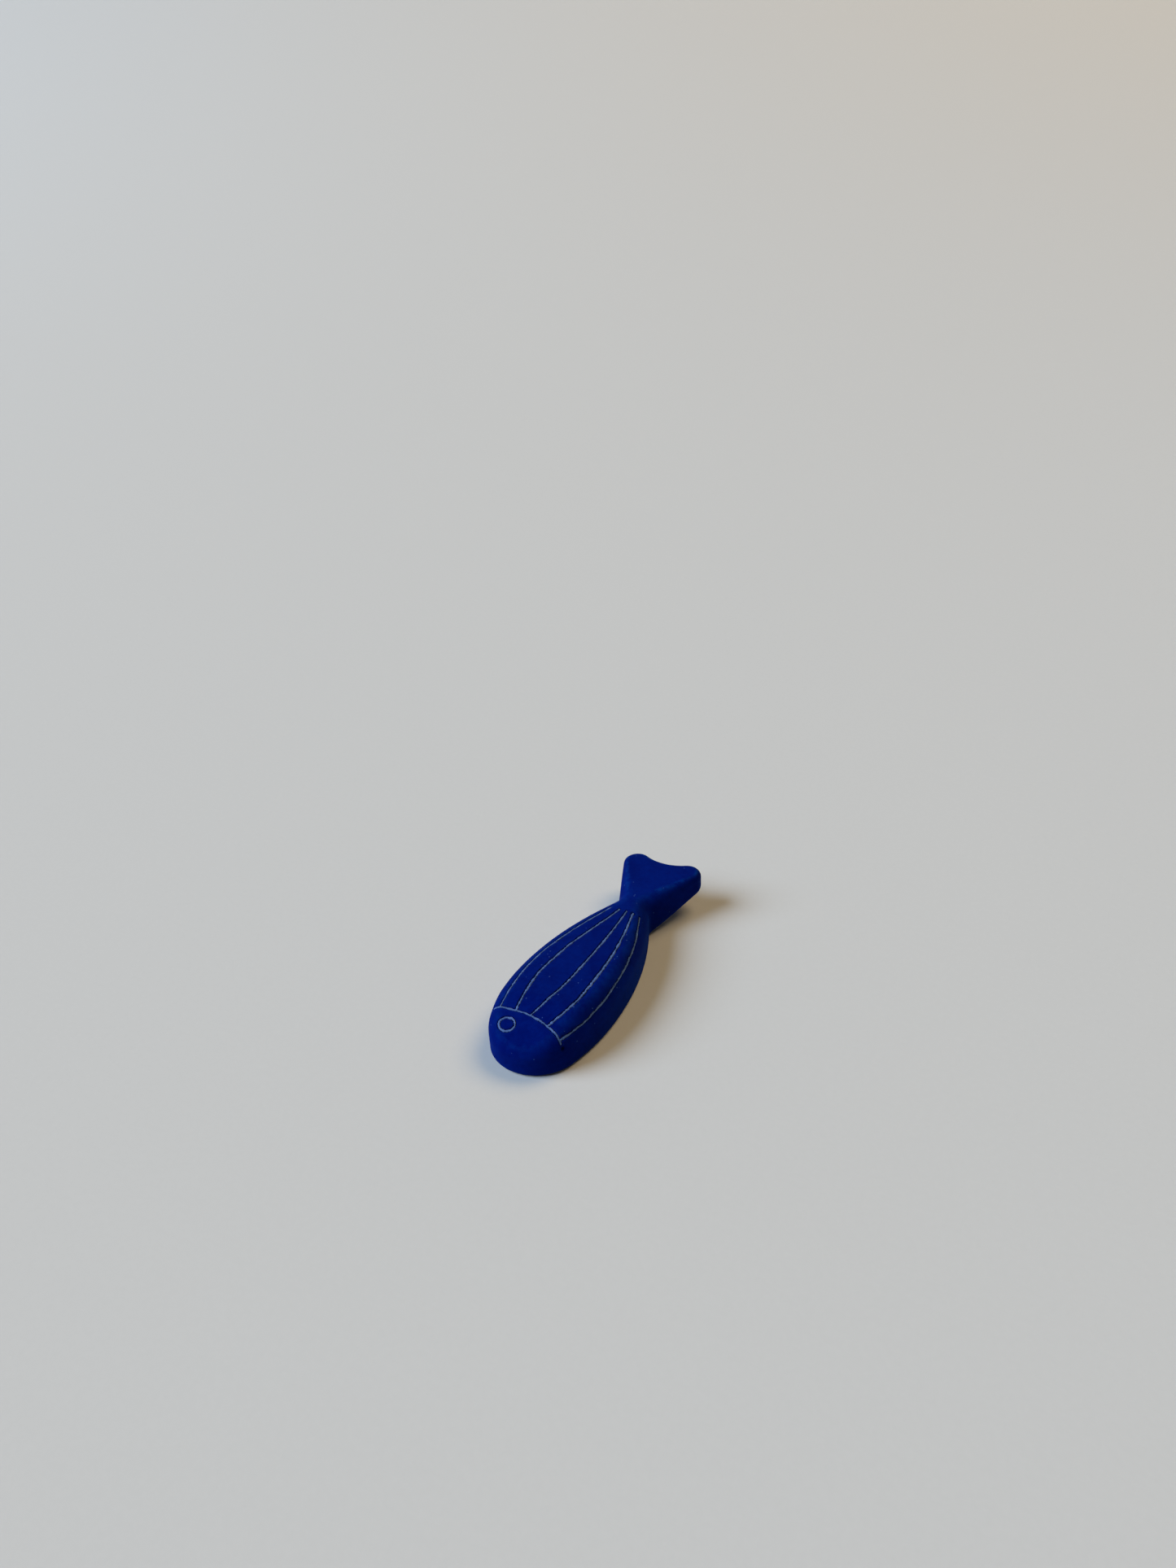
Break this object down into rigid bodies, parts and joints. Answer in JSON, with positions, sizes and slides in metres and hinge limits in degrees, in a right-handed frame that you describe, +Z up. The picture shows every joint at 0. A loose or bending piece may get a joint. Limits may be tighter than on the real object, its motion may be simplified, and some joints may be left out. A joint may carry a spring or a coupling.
{
  "type": "chopstick rest",
  "caption": "Low fish-shaped chopstick rest with a narrow waist, a raised forked tail and thin pale lines let into its matte blue top.",
  "frame": {"origin": "centre of the rest's bounding box in plan, on the table it stands on", "axes": "+Y from the nose to the tail, +Z up, +X from the fish's back to its belly"},
  "size_m": [0.0192, 0.06, 0.0089],
  "materials": {
    "blue_paint": "matte cobalt-blue paint, slightly worn",
    "pale_line": "chalky blue-grey filling"
  },
  "bodies": {
    "root": {"fish_body": "blue_paint", "eye_ring": "pale_line", "gill_line": "pale_line", "back_stripe": "pale_line", "upper_stripe": "pale_line", "middle_stripe": "pale_line", "lower_stripe": "pale_line", "belly_stripe": "pale_line"}
  },
  "joints": []
}
